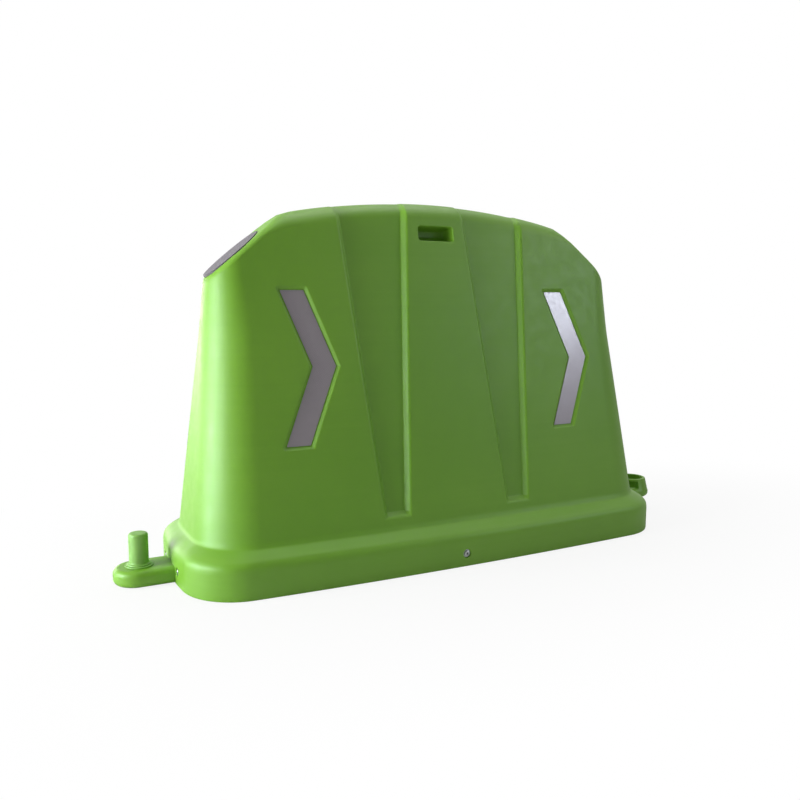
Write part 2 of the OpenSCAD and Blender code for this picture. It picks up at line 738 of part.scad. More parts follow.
module reflector_left() {
    oval_sheet(-1);
}

module reflector_right() {
    oval_sheet(1);
}

hood();
ballast_slab();
coupling_pin();
pin_insert();
pin_bolt();
pin_washer();
side_screws();
side_washers();
side_inserts();
chevron_front_left();
chevron_front_right();
chevron_rear_left();
chevron_rear_right();
reflector_left();
reflector_right();
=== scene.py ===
import math

import bmesh
import bpy
from mathutils import Matrix, Vector


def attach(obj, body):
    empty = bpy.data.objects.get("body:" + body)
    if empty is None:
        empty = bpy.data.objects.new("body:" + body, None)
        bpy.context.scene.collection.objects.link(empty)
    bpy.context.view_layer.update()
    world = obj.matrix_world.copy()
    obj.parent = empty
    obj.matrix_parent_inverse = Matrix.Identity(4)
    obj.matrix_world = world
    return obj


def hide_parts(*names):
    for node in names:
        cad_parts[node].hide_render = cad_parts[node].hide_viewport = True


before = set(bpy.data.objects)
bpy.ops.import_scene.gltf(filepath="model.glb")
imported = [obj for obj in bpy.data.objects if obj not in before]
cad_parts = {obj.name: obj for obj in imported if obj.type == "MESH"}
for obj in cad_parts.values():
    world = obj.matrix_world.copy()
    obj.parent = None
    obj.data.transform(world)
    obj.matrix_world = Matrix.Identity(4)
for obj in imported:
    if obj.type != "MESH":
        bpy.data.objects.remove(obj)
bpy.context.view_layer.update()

scene = bpy.context.scene
MM = 0.001


# Camera, in radians, metres and the photograph's pixels

TURN, PITCH, ROLL = 0.4716, 0.1269, 0.00316
CAMERA_PLACE = (-0.9374, -1.7115, 0.6065)
FOCAL_PIXELS, PHOTO_PIXELS, SENSOR_WIDTH = 784.3, 800, 36


def place_camera():
    """The photograph's viewpoint, solved from the barrier's outline."""
    right = Vector((math.cos(TURN), -math.sin(TURN), 0))
    ahead = Vector((math.sin(TURN) * math.cos(PITCH), math.cos(TURN) * math.cos(PITCH),
                    -math.sin(PITCH)))
    up = right.cross(ahead)
    side = math.cos(ROLL) * right + math.sin(ROLL) * up
    top = math.cos(ROLL) * up - math.sin(ROLL) * right
    data = bpy.data.cameras.new("camera")
    data.sensor_width = SENSOR_WIDTH
    data.lens = SENSOR_WIDTH * FOCAL_PIXELS / PHOTO_PIXELS
    data.clip_start = 0.05
    camera = bpy.data.objects.new("camera", data)
    scene.collection.objects.link(camera)
    turn = Matrix((side, top, -ahead)).transposed().to_4x4()
    camera.matrix_world = Matrix.Translation(CAMERA_PLACE) @ turn
    scene.camera = camera


place_camera()


# Sizes in millimetres

# The pin is at the -X end and the eye at the +X end, -Y is the front and Z is up.
# A bow is the radius of a long side or end that is slightly curved.
WALL = 6
CROWN_H = 835

SKIRT_L, SKIRT_W, SKIRT_CORNER = 1260, 465, 129
SKIRT_BOW, SKIRT_END_BOW = 9600, 1087
# The ledge rises from the skirt's side to the body's foot
SKIRT_SIDE, LEDGE_LOW, LEDGE_TOP = 62, 84, 95.6

FOOT_L, FOOT_W, FOOT_CORNER = 1189, 389, 121
CROWN_L, CROWN_W, CROWN_CORNER = 1040, 88.5, 74
SIDE_BOW, END_BOW = 12300, 1500
# The crown is an arc that bends softly into a sloping facet at each end
CROWN_ARC, BEND_SOFT = 1830, 7
FACET_ANGLE, FACET_X, FACET_Z = math.radians(40.1), 450, 730.5
# The rounded top edge tightens from the crown to the facets, from EASE_X on over EASE_RUN
CROWN_ROUND, FACET_ROUND, LEAST_ROUND = 40, 15, 6
EASE_X, EASE_RUN = 345, 80

CHANNEL_X, CHANNEL_TOP, CHANNEL_FOOT, CHANNEL_Z = 162.8, 90.9, 31.4, 124
CHANNEL_DEPTH, CHANNEL_WALL, CHANNEL_LIP, CHANNEL_FLOOR = 13, math.radians(52), 8, 3
# At the top edge a channel's floor lies lower and is rounder than the panels beside it
CHANNEL_FALL, CHANNEL_ROUND, CHANNEL_EASE = 0.5, 8, 5
# In the hollow it is wider by this share of the wall
CHANNEL_SPREAD = 0.8

POCKET_W, POCKET_H, POCKET_DEPTH, POCKET_Z, POCKET_R = 94, 34, 38, 762.5, 7
CHEVRON_ARM, CHEVRON_TIP, CHEVRON_SHIFT = 54, 62.3, -9.5
CHEVRON_UP, CHEVRON_DOWN, CHEVRON_Z = 165, 167, 463.2
CHEVRON_LEFT, CHEVRON_RIGHT = -369.1, 334.4
CHEVRON_DEPTH, CHEVRON_MARGIN, SHEET_T = 7, 4.5, 1.2
SHEET_CORNER, RECESS_CORNER = 2, 2.2
OVAL_L, OVAL_W, OVAL_X = 154, 98, 480
OVAL_DEPTH, OVAL_MARGIN, OVAL_PROUD = 3.4, 2, 1.6

LUG_X, LUG_R, LUG_ROUND = 700, 50, 13
PIN_LUG_Z, PIN_LUG_T = 0.5, 36.5
PIN_LUG_TOP = PIN_LUG_Z + PIN_LUG_T
EYE_LUG_Z, EYE_LUG_T, EYE_R = 38, 28, 33
EYE_LUG_TOP = EYE_LUG_Z + EYE_LUG_T
GUARD_R, GUARD_TOP_R, GUARD_Z = 47, 40.5, 92
# The guard's window ends short of the eye's axis and leaves a band above it
WINDOW_SHORT, WINDOW_BAND = 10, 6
FLUTE_Y, FLUTE_R, FLUTE_DEPTH = 6, 24, 5

PIN_X, PIN_R = 695.5, 20.5
# The pin's spigot sits in the lug, over a web that its bolt passes
SPIGOT_R, SPIGOT_H, SPIGOT_PLAY = 14, 17, 0.1
PIN_INSERT_R, PIN_BOLT_R, BOLT_HEAD_R, LUG_WEB = 7.6, 5.5, 12.5, 6

SCREW_Z, SCREW_Y, FRONT_SCREW_X = 30, 63, 8
DIMPLE_D, DIMPLE_DEPTH, SCREW_D = 20, 4.6, 8
WASHER_D, WASHER_T, WASHER_PLAY = 18, 1.2, 0.2
HEAD_D, HEAD_H, KEY = 14, 3.2, 5
# The wall is thicker behind the screws and above the pin's lug
PAD_T, PIN_PAD_W = 5, 40

TAPER = (FOOT_W - CROWN_W) / 2 / (CROWN_H - LEDGE_TOP)
TILT = math.atan(TAPER)

# Sides of round forms
RING_SIDES, BORE_SIDES, SCREW_SIDES, SHANK_SIDES = 96, 64, 48, 32


# The hood's form

# Here off is the distance inwards from the outside: 0 on the outside, WALL in the hollow.

def lerp(a, b, t):
    return a + (b - a) * t


def ease(t):
    t = min(1, max(0, t))
    return t * t * (3 - 2 * t)


def bow(radius, x):
    """How far an arc falls back at x from its middle."""
    return radius - math.sqrt(radius * radius - x * x)


def top_z(x):
    """Height of the crown at x."""
    arc = CROWN_H - bow(CROWN_ARC, x)
    facet = FACET_Z - math.tan(FACET_ANGLE) * (abs(x) - FACET_X)
    gap = arc - facet
    return (arc + facet - math.sqrt(gap * gap + BEND_SOFT * BEND_SOFT)) / 2


def round_at(x):
    """Radius of the rounded top edge."""
    return lerp(CROWN_ROUND, FACET_ROUND, ease((abs(x) - EASE_X) / EASE_RUN))


def half_w(z):
    """Half of the body's width at mid length."""
    return FOOT_W / 2 - TAPER * (z - LEDGE_TOP)


def face_y(x, z):
    """The front face of the body."""
    return -half_w(z) + bow(SIDE_BOW, x)


class Plan:
    """A quarter of a plan outline: bowed long side, corner arc of radius r, bowed end."""

    def __init__(self, half_length, half_width, r, side_bow, end_bow):
        self.r, self.side_bow, self.end_bow = r, side_bow, end_bow
        self.side_y = side_bow - half_width
        self.end_x = half_length - end_bow
        # The corner's centre is where both bows, less r, meet
        vx, vy = self.end_x, -self.side_y
        d = math.hypot(vx, vy)
        ex, ey = vx / d, vy / d
        q1, q2 = side_bow - r, end_bow - r
        m = (q1 * q1 - q2 * q2 + d * d) / (2 * d)
        h = math.sqrt(max(0, q1 * q1 - m * m))
        self.cx, self.cy = m * ex - h * ey, self.side_y + m * ey + h * ex
        self.t1 = math.atan2(self.cy - self.side_y, self.cx)
        self.t2 = math.atan2(self.cy, self.cx - self.end_x)
        self.corner_x = side_bow * math.cos(self.t1)

    def at(self, kind, value):
        """Point at x = value on the side, or at the share value of the corner or the end."""
        if kind == "side":
            return value, self.side_y - math.sqrt(self.side_bow ** 2 - value * value)
        if kind == "corner":
            t = lerp(self.t1, self.t2, value)
            return self.cx + self.r * math.cos(t), self.cy + self.r * math.sin(t)
        t = lerp(self.t2, 0, value)
        return self.end_x + self.end_bow * math.cos(t), self.end_bow * math.sin(t)


END_RISE = bow(SIDE_BOW, CROWN_L / 2 - CROWN_CORNER)
END_FLAT, LEAST_CORNER = 5, 3


def skirt_plan(off):
    return Plan(SKIRT_L / 2 - off, SKIRT_W / 2 - off, SKIRT_CORNER - off, SKIRT_BOW, SKIRT_END_BOW)


def body_plan(z, off):
    t = (z - LEDGE_TOP) / (CROWN_H - LEDGE_TOP)
    r = min(lerp(FOOT_CORNER, CROWN_CORNER, t), half_w(z) - END_RISE - END_FLAT)
    return Plan(lerp(FOOT_L, CROWN_L, t) / 2 - off, half_w(z) - off, max(LEAST_CORNER, r - off),
                SIDE_BOW, END_BOW)


def lip_profile(steps, floor_steps=3):
    """Channel edge as (distance inside the outline, depth)."""
    run = CHANNEL_LIP * math.tan(CHANNEL_WALL / 2)
    points = []
    for i in range(steps + 1):
        t = CHANNEL_WALL * i / steps
        points.append((CHANNEL_LIP * math.sin(t) - run, CHANNEL_LIP * (1 - math.cos(t))))
    wall_run = CHANNEL_DEPTH / math.tan(CHANNEL_WALL)
    floor_run = CHANNEL_FLOOR * math.tan(CHANNEL_WALL / 2)
    for i in range(floor_steps + 1):
        t = CHANNEL_WALL * (1 - i / floor_steps)
        points.append((wall_run + floor_run - CHANNEL_FLOOR * math.sin(t),
                       CHANNEL_DEPTH - CHANNEL_FLOOR * (1 - math.cos(t))))
    return points


def hood_columns(lip, mid, floor, far, corner, end):
    """Columns of a quarter, as (kind, value, depth), from the front's middle round to the end."""
    cols = [("mid", i / mid, 0) for i in range(mid)]
    cols += [("left", inside, depth) for inside, depth in lip]
    cols += [("floor", lerp(-1, 1, i / floor), lip[-1][1]) for i in range(1, floor)]
    cols += [("right", inside, depth) for inside, depth in reversed(lip)]
    for kind, count in (("far", far), ("corner", corner), ("end", end)):
        cols += [(kind, i / count, 0) for i in range(1, count + 1)]
    return cols


def past_side(col):
    """Whether a column stands on the corner or the end instead of the long side."""
    return col[0] in ("corner", "end")


def side_x(col, z, off, plan, lip):
    """Distance from mid length of a long-side column at height z."""
    kind, value, _ = col
    slope = (CHANNEL_TOP - CHANNEL_FOOT) / (CROWN_H - CHANNEL_Z)
    half = CHANNEL_FOOT + slope * (z - CHANNEL_Z) + off * CHANNEL_SPREAD
    if kind == "mid":
        return value * (CHANNEL_X - half + lip[0][0])
    if kind == "left":
        return CHANNEL_X - half + value
    if kind == "floor":
        return CHANNEL_X + value * (half - lip[-1][0])
    if kind == "right":
        return CHANNEL_X + half - value
    return lerp(CHANNEL_X + half - lip[0][0], plan.corner_x, value)


def side_point(col, z, off, lip, deepest=CHANNEL_DEPTH):
    """Point of a column below the rounded top edge."""
    plan = body_plan(z, off)
    if past_side(col):
        return (*plan.at(*col[:2]), z)
    x = side_x(col, z, off, plan, lip)
    return x, face_y(x, z) + off + min(col[2], deepest), z


# Heights at which high_point reads the ends' length and starts its search
END_READ_Z, END_FIRST_Z, SIDE_FIRST_Z = 700, 720, 780


def high_point(col, off, phi, lip):
    """Point of a column on the rounded top edge, phi from 0 at its foot to a right angle on top.

    Plan and height depend on each other, so z is a first guess that the loops settle.
    """
    kind, value, depth = col
    if past_side(col):
        x0 = body_plan(END_READ_Z, off).at(kind, value)[0]
        rd = max(LEAST_ROUND, round_at(x0) - off)
        d, drop = rd * (1 - math.cos(phi)), rd * (1 - math.sin(phi))
        z = END_FIRST_Z
        for _ in range(6):
            z = top_z(body_plan(z, off + d).at(kind, value)[0]) - off - drop
        return (*body_plan(z, off + d).at(kind, value), z)
    sunk = ease(depth / CHANNEL_EASE)
    z = SIDE_FIRST_Z
    for _ in range(8):
        x = side_x(col, z, off, body_plan(z, off), lip)
        rd = max(LEAST_ROUND, round_at(x) + CHANNEL_ROUND * sunk - depth - off)
        z = top_z(x) - off - CHANNEL_FALL * sunk - rd * (1 - math.sin(phi))
    y = face_y(x, z) + off + depth + rd * (1 - math.cos(phi))
    return x, y, z


# How near the middle plane a column stays clear of it, or meets it
CREST_CLEAR, CREST_MET = 0.5, 0.02


def last_phi(col, off, lip):
    """A right angle, or the angle at which a column meets the middle plane of the crown."""
    low, high = 0, math.pi / 2
    if high_point(col, off, high, lip)[1] <= -CREST_CLEAR:
        return high
    for _ in range(20):
        middle = (low + high) / 2
        if high_point(col, off, middle, lip)[1] > -CREST_MET:
            high = middle
        else:
            low = middle
    return low


def smooth_run(points, steps):
    """Points of a curve that runs smoothly through the given ones."""
    out = []
    for i in range(len(points) - 1):
        a, b = points[max(i - 1, 0)], points[i]
        c, d = points[i + 1], points[min(i + 2, len(points) - 1)]
        for s in range(steps):
            t = s / steps
            out.append(tuple(0.5 * (2 * q + (r - p) * t + (2 * p - 5 * q + 4 * r - u) * t * t
                                    + (3 * q - p - 3 * r + u) * t ** 3)
                             for p, q, r, u in zip(a, b, c, d)))
    out.append(points[-1])
    return out


def skirt_levels(off):
    """Rows up to the body's foot, as (distance inside the skirt, share of the ledge, height)."""
    side, low, top = SKIRT_SIDE, LEDGE_LOW, LEDGE_TOP
    drop = low - side
    if off:
        return [(off, 0, -1), (off, 0, side - 2), (off, 0.1, side + drop * 0.5 - 5),
                (off, 0.35, low - off - 4), (off, 0.75, low - off + 2),
                (off, 0.97, top - off - 2)]
    skirt = [(1.2, 0, 0), (0.4, 0, 0.7), (0, 0, 2.5), (0, 0, 22), (0, 0, 42), (0, 0, side - 11)]
    ledge = [(0, side - 7), (0.008, side - 1.5), (0.032, side + drop * 0.19),
             (0.075, side + drop * 0.39), (0.135, side + drop * 0.55), (0.22, low - 6.3),
             (0.33, low - 3.0), (0.46, low + 0.3), (0.60, low + 3.6), (0.74, low + 6.6),
             (0.86, low + 9.4), (0.94, top + 0.6), (1, top + 5.4)]
    return skirt + [(0, max(0, share), z) for share, z in smooth_run(ledge, 3)]


def skirt_rows(cols, off, lip):
    """Rows of the skirt and its ledge."""
    foot = body_plan(LEDGE_TOP, off)
    rows = []
    for inset, share, z in skirt_levels(off):
        skirt = skirt_plan(inset)
        row = []
        for col in cols:
            if past_side(col):
                a, b = skirt.at(*col[:2]), foot.at(*col[:2])
            else:
                x = side_x(col, LEDGE_TOP, off, foot, lip)
                a, b = skirt.at("side", x / foot.corner_x * skirt.corner_x), foot.at("side", x)
            row.append((lerp(a[0], b[0], share), lerp(a[1], b[1], share), z))
        rows.append(row)
    return rows


# Rows are level up to this height, and above it they follow the crown
LEVEL_Z = 150


def body_rows(cols, off, lip, foot_levels, steps):
    """Rows of the body up to its rounded top edge."""
    levels = [(z, 0) for z in foot_levels]
    levels += [(CHANNEL_Z - off + inside, depth) for inside, depth in lip]
    levels.append((LEVEL_Z, CHANNEL_DEPTH))
    rows = [[side_point(col, z, off, lip, deepest) for col in cols] for z, deepest in levels]
    tops = [high_point(col, off, 0, lip)[2] for col in cols]
    for i in range(1, steps + 1):
        rows.append([side_point(col, lerp(LEVEL_Z, top, i / steps), off, lip)
                     for col, top in zip(cols, tops)])
    return rows


def crown_rows(cols, off, lip, steps):
    """Rows over the rounded top edge to the middle plane."""
    ends = [last_phi(col, off, lip) for col in cols]
    rows = [[high_point(col, off, phi * i / steps, lip) for col, phi in zip(cols, ends)]
            for i in range(1, steps + 1)]
    for share in (0.5, 0):
        rows.append([(x, y * share, z) for x, y, z in rows[-1]])
    return rows


def hood_form(off, lip_steps, column_counts, foot_levels, body_steps, crown_steps):
    """Closed solid of the hood's outside, or of its inside when off is the wall."""
    lip = lip_profile(lip_steps)
    cols = hood_columns(lip, *column_counts)
    return mirrored_rows(skirt_rows(cols, off, lip)
                         + body_rows(cols, off, lip, foot_levels, body_steps)
                         + crown_rows(cols, off, lip, crown_steps))


def mirrored_rows(rows):
    """Solid from the rows of one quarter, mirrored to all four."""
    bm = bmesh.new()
    rings = []
    for row in rows:
        ring = list(row)
        ring += [(x, -y, z) for x, y, z in reversed(row[:-1])]
        ring += [(-x, -y, z) for x, y, z in row[1:]]
        ring += [(-x, y, z) for x, y, z in reversed(row[1:-1])]
        rings.append([bm.verts.new((x * MM, y * MM, z * MM)) for x, y, z in ring])
    join_rings(bm, rings)
    bmesh.ops.remove_doubles(bm, verts=bm.verts, dist=2e-6)
    bmesh.ops.dissolve_degenerate(bm, edges=bm.edges, dist=1e-6)
    return bm


# Mesh helpers

def join_rings(bm, rings):
    """Faces between rings of equally many points, and over the lowest ring."""
    n = len(rings[0])
    for low, high in zip(rings, rings[1:]):
        for k in range(n):
            bm.faces.new((low[k], low[(k + 1) % n], high[(k + 1) % n], high[k]))
    bm.faces.new(list(reversed(rings[0])))


def as_object(name, bm):
    """Object at the origin, with its faces turned outwards."""
    bmesh.ops.recalc_face_normals(bm, faces=bm.faces)
    mesh = bpy.data.meshes.new(name)
    bm.to_mesh(mesh)
    bm.free()
    made = bpy.data.objects.new(name, mesh)
    scene.collection.objects.link(made)
    return made


def move_solid(bm, place):
    """Moves a solid to a place whose translation is in millimetres."""
    move = place.copy()
    move.translation = place.translation * MM
    bm.transform(move)


def layered(layers, place=None):
    """Closed solid through outlines of equally many points, as lists of 3-D points."""
    bm = bmesh.new()
    rings = [[bm.verts.new(Vector(p) * MM) for p in layer] for layer in layers]
    join_rings(bm, rings)
    bm.faces.new(rings[-1])
    if place is not None:
        move_solid(bm, place)
    return bm


def full_turn(steps):
    return [2 * math.pi * k / steps for k in range(steps)]


def lathe(profile, steps, place):
    """Closed solid of revolution from (radius, height) points with both ends off the axis."""
    layers = [[(r * math.cos(a), r * math.sin(a), z) for a in full_turn(steps)]
              for r, z in profile]
    return layered(layers, place)


def box_solid(low, high):
    (x0, y0, z0), (x1, y1, z1) = low, high
    return layered([[(x0, y0, z), (x1, y0, z), (x1, y1, z), (x0, y1, z)] for z in (z0, z1)])


def corners(points):
    """Each point of an outline between its neighbours."""
    points = [Vector(p) for p in points]
    return zip(points[-1:] + points[:-1], points, points[1:] + points[:1])


def grown(points, d):
    """Outline moved outwards by d with mitred corners; counter-clockwise points."""
    out = []
    for a, b, c in corners(points):
        u, v = (b - a).normalized(), (c - b).normalized()
        s = Vector((u.y, -u.x)) + Vector((v.y, -v.x))
        out.append(b + s * (2 * d / s.length_squared))
    return out


def filleted(points, r, steps=5):
    """Outline with every corner rounded; concave and convex corners alike."""
    out = []
    for a, b, c in corners(points):
        u, v = (a - b).normalized(), (c - b).normalized()
        half = u.angle(v) / 2
        reach = r / math.tan(half)
        p, q = b + u * reach, b + v * reach
        centre = b + (u + v).normalized() * (r / math.sin(half))
        for s in range(steps + 1):
            along = p.lerp(q, s / steps) - centre
            out.append(centre + along.normalized() * r)
    return out


def bake(made):
    """Makes what an object's modifiers give its own plain mesh."""
    graph = bpy.context.evaluated_depsgraph_get()
    mesh = bpy.data.meshes.new_from_object(made.evaluated_get(graph))
    made.modifiers.clear()
    old, made.data = made.data, mesh
    bpy.data.meshes.remove(old)


def combine(target, solid, operation="DIFFERENCE"):
    """Cuts a solid from the target or adds it, and uses it up."""
    tool = solid if isinstance(solid, bpy.types.Object) else as_object("tool", solid)
    modifier = target.modifiers.new("join", "BOOLEAN")
    modifier.operation = operation
    modifier.solver = "MANIFOLD"
    modifier.object = tool
    bake(target)
    spent = tool.data
    bpy.data.objects.remove(tool)
    bpy.data.meshes.remove(spent)


def settle_normals(piece, angle):
    """Smooth shading that keeps broad faces flat and edges sharper than the angle crisp."""
    piece.data.shade_smooth()
    piece.data.set_sharp_from_angle(angle=math.radians(angle))
    modifier = piece.modifiers.new("normals", "WEIGHTED_NORMAL")
    modifier.keep_sharp = True
    modifier.weight = 60
    bake(piece)


def finish_piece(piece, material, slot, *nodes):
    """Gives a piece its material and body, and hides the nodes that it replaces; the slot is not
    used.
    """
    piece.data.materials.clear()
    piece.data.materials.append(material)
    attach(piece, "root")
    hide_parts(*nodes)


# Recesses. A profile is a list of (growth of the outline, depth or height).

HALF_TURN = Matrix.Rotation(math.pi, 4, "Z")
CHEVRON_BOTTOM, CHEVRON_HEAD = -CHEVRON_DOWN / math.cos(TILT), CHEVRON_UP / math.cos(TILT)
CHEVRON = [(CHEVRON_SHIFT - CHEVRON_ARM / 2, CHEVRON_BOTTOM),
           (CHEVRON_SHIFT + CHEVRON_ARM / 2, CHEVRON_BOTTOM),
           (CHEVRON_TIP + CHEVRON_ARM / 2, 0),
           (CHEVRON_ARM / 2, CHEVRON_HEAD),
           (-CHEVRON_ARM / 2, CHEVRON_HEAD),
           (CHEVRON_TIP - CHEVRON_ARM / 2, 0)]


def chevron_place(x, rear):
    """Place of the chevron at x on the tilted and bowed front, or on the rear."""
    mid = x + CHEVRON_TIP / 2
    place = (Matrix.Translation((mid, face_y(mid, CHEVRON_Z), CHEVRON_Z))
             @ Matrix.Rotation(math.asin(mid / SIDE_BOW), 4, "Z")
             @ Matrix.Rotation(-TILT, 4, "X") @ Matrix.Translation((-CHEVRON_TIP / 2, 0, 0)))
    return HALF_TURN @ place if rear else place


def soft_mouth(radius, steps):
    """Rounded mouth of a recess, from the face inwards."""
    return [(radius * (1 - math.sin(a)), radius * (1 - math.cos(a)))
            for a in (math.pi / 2 * i / steps for i in range(1, steps + 1))]


def chevron_layers(profile):
    """Layers whose corners are a little rounder where the outline has grown."""
    return [[(p.x, depth, p.y) for p in filleted(grown(CHEVRON, grow),
                                               RECESS_CORNER + max(0, grow) * 0.3)]
            for grow, depth in profile]


def chevron_cutter(x, rear):
    d = CHEVRON_DEPTH
    profile = [(13, -12), (13, -0.4), (9.6, -0.1), (8.4, 0.25), (7.4, 0.9), (6.5, 1.8), (5.7, 2.8),
               (2.9, d - 0.9), (2.2, d - 0.35), (1.2, d)]
    return layered(chevron_layers(profile), chevron_place(x, rear))


def chevron_backing(x, rear):
    """What the recess takes from the hollow, so that the wall runs on behind it."""
    m = CHEVRON_MARGIN + WALL - 1
    profile = [(m, -4), (m, CHEVRON_DEPTH + WALL)]
    return layered(chevron_layers(profile), chevron_place(x, rear))


def pocket_outline(grow, steps=6):
    """Rounded rectangle of the hand pocket."""
    r = max(1, POCKET_R + grow)
    w, h = POCKET_W / 2 + grow - r, POCKET_H / 2 + grow - r
    out = []
    for sx, sy, start in ((1, -1, -90), (1, 1, 0), (-1, 1, 90), (-1, -1, 180)):
        for i in range(steps + 1):
            t = math.radians(start + 90 * i / steps)
            out.append((sx * w + r * math.cos(t), sy * h + r * math.sin(t)))
    return out


def pocket_cutter(rear, backing=False):
    """Hand pocket, or what it takes from the hollow behind it.

    Each layer is (growth, depth, share of the face's tilt that it follows).
    """
    d = POCKET_DEPTH
    if backing:
        profile = [(WALL, -10, 0), (WALL - 1.6, d + WALL, 0)]
    else:
        profile = [(5.2, -20, 1), (5.2, -0.3, 1)]
        profile += [(grow, depth + 0.05, 1) for grow, depth in soft_mouth(3.4, 6)]
        profile += [(-0.6, 8, 0.6), (-1.8, d - 19, 0), (-3.6, d - 11, 0),
                    (-6, d - 5, 0), (-9, d - 1.4, 0), (-12, d, 0)]
    layers = [[(x, depth + share * TAPER * z, z) for x, z in pocket_outline(grow)]
              for grow, depth, share in profile]
    place = Matrix.Translation((0, face_y(0, POCKET_Z), POCKET_Z))
    return layered(layers, HALF_TURN @ place if rear else place)


def facet_place(side):
    """Place of an oval on its sloping facet."""
    z = FACET_Z - math.tan(FACET_ANGLE) * (OVAL_X - FACET_X)
    return (Matrix.Translation((side * OVAL_X, 0, z))
            @ Matrix.Rotation(side * FACET_ANGLE, 4, "Y"))


def oval_layers(profile):
    return [[((OVAL_L / 2 + grow) * math.cos(a), (OVAL_W / 2 + grow) * math.sin(a), z)
             for a in full_turn(RING_SIDES)] for grow, z in profile]


def oval_cutter(side):
    """Seat of an oval sheet, from its floor up through its rounded mouth."""
    m = OVAL_MARGIN
    profile = [(m - 1, -OVAL_DEPTH), (m - 0.3, -OVAL_DEPTH + 0.6)]
    profile += [(m + grow, -depth) for grow, depth in reversed(soft_mouth(1.6, 4))]
    profile += [(m + 3, 0.3), (m + 3, 20)]
    return layered(oval_layers(profile), facet_place(side))


# Lugs, guard and screw seats

def lug_solid(side, z0, thick, edge_steps=6, tip_steps=40):
    """Tongue with a round tip and rounded edges."""
    root = SKIRT_L / 2 - WALL / 2
    arc = [math.pi / 2 * i / edge_steps for i in range(edge_steps + 1)]
    profile = [(LUG_ROUND * (1 - math.sin(a)), z0 + LUG_ROUND * (1 - math.cos(a))) for a in arc]
    profile += [(LUG_ROUND * (1 - math.cos(a)), z0 + thick - LUG_ROUND * (1 - math.sin(a)))
                for a in arc]
    layers = []
    for off, z in profile:
        r = LUG_R - off
        tip = [(side * (LUG_X + r * math.cos(a)), r * math.sin(a), z)
               for a in (math.pi * (k / tip_steps - 0.5) for k in range(tip_steps + 1))]
        layers.append([(side * root, -r, z)] + tip + [(side * root, r, z)])
    return layered(layers)


def guard_solid():
    """Tapered ring round the eye, with a window that faces the skirt."""
    z0, r0 = EYE_LUG_TOP - 10, GUARD_R + 2
    profile = [(r0, z0), (lerp(r0, GUARD_TOP_R, 0.9), lerp(z0, GUARD_Z, 0.9)),
               (GUARD_TOP_R + 0.3, GUARD_Z - 2), (GUARD_TOP_R - 0.4, GUARD_Z - 0.7),
               (GUARD_TOP_R - 2, GUARD_Z)]
    guard = as_object("guard", lathe(profile, RING_SIDES, Matrix.Translation((LUG_X, 0, 0))))
    clear = 90
    combine(guard, box_solid((LUG_X - clear, -clear, EYE_LUG_TOP),
                             (LUG_X - WINDOW_SHORT, clear, GUARD_Z - WINDOW_BAND)))
    return guard


def screw_places():
    """Where the screws enter the skirt, as ((x, y), direction inwards)."""
    x = SKIRT_L / 2 - bow(SKIRT_END_BOW, SCREW_Y)
    w = SKIRT_W / 2
    return [((-FRONT_SCREW_X, -w), (0, 1)), ((FRONT_SCREW_X, w), (0, -1)),
            ((-x, -SCREW_Y), (1, 0)), ((-x, SCREW_Y), (1, 0)),
            ((x, -SCREW_Y), (-1, 0)), ((x, SCREW_Y), (-1, 0))]


def screw_place(spot):
    """Place at a screw whose Z points inwards."""
    (x, y), (dx, dy) = spot
    turn = Vector((dx, dy, 0)).to_track_quat("Z", "Y").to_matrix().to_4x4()
    return Matrix.Translation((x, y, SCREW_Z)) @ turn


def hollow_body():
    """The body with its recesses, and a hollow that keeps the wall behind them."""
    outside = hood_form(0, lip_steps=6, column_counts=(5, 6, 10, 16, 8),
                        foot_levels=(105, 110), body_steps=18, crown_steps=10)
    hollow = hood_form(WALL, lip_steps=2, column_counts=(2, 2, 4, 8, 4),
                       foot_levels=(), body_steps=5, crown_steps=3)
    hood, inside = as_object("moulded_hood", outside), as_object("inside", hollow)
    for rear in (False, True):
        for x in (CHEVRON_LEFT, CHEVRON_RIGHT):
            combine(hood, chevron_cutter(x, rear))
            combine(inside, chevron_backing(x, rear))
        combine(hood, pocket_cutter(rear))
        combine(inside, pocket_cutter(rear, True))
    combine(hood, inside)
    return hood


def add_pads_and_lugs(hood):
    """Thicker wall behind the screws and the pin's lug, both lugs and the eye's guard."""
    r = DIMPLE_D / 2 + WALL
    for spot in screw_places():
        pad = lathe([(r, WALL / 2), (r, WALL + PAD_T)], SCREW_SIDES, screw_place(spot))
        combine(hood, pad, "UNION")
    x, y = -SKIRT_L / 2 + WALL, PIN_PAD_W / 2
    pad = box_solid((x - 1, -y, PIN_LUG_TOP - WALL), (x + PAD_T, y, LEDGE_LOW - 2 * WALL))
    combine(hood, pad, "UNION")
    combine(hood, lug_solid(-1, PIN_LUG_Z, PIN_LUG_T), "UNION")
    combine(hood, lug_solid(1, EYE_LUG_Z, EYE_LUG_T), "UNION")
    combine(hood, guard_solid(), "UNION")


def cut_screw_seats(hood):
    """Dimples with a rounded mouth, and the screws' bores."""
    r, bore = DIMPLE_D / 2, SCREW_D / 2 + 0.5
    seat = [(bore, 40), (bore, DIMPLE_DEPTH), (r, DIMPLE_DEPTH),
            (r, 1.2), (r + 0.35, 0.4), (r + 1.2, -0.2), (r + 1.2, -5)]
    for spot in screw_places():
        combine(hood, lathe(seat, SCREW_SIDES, screw_place(spot)))


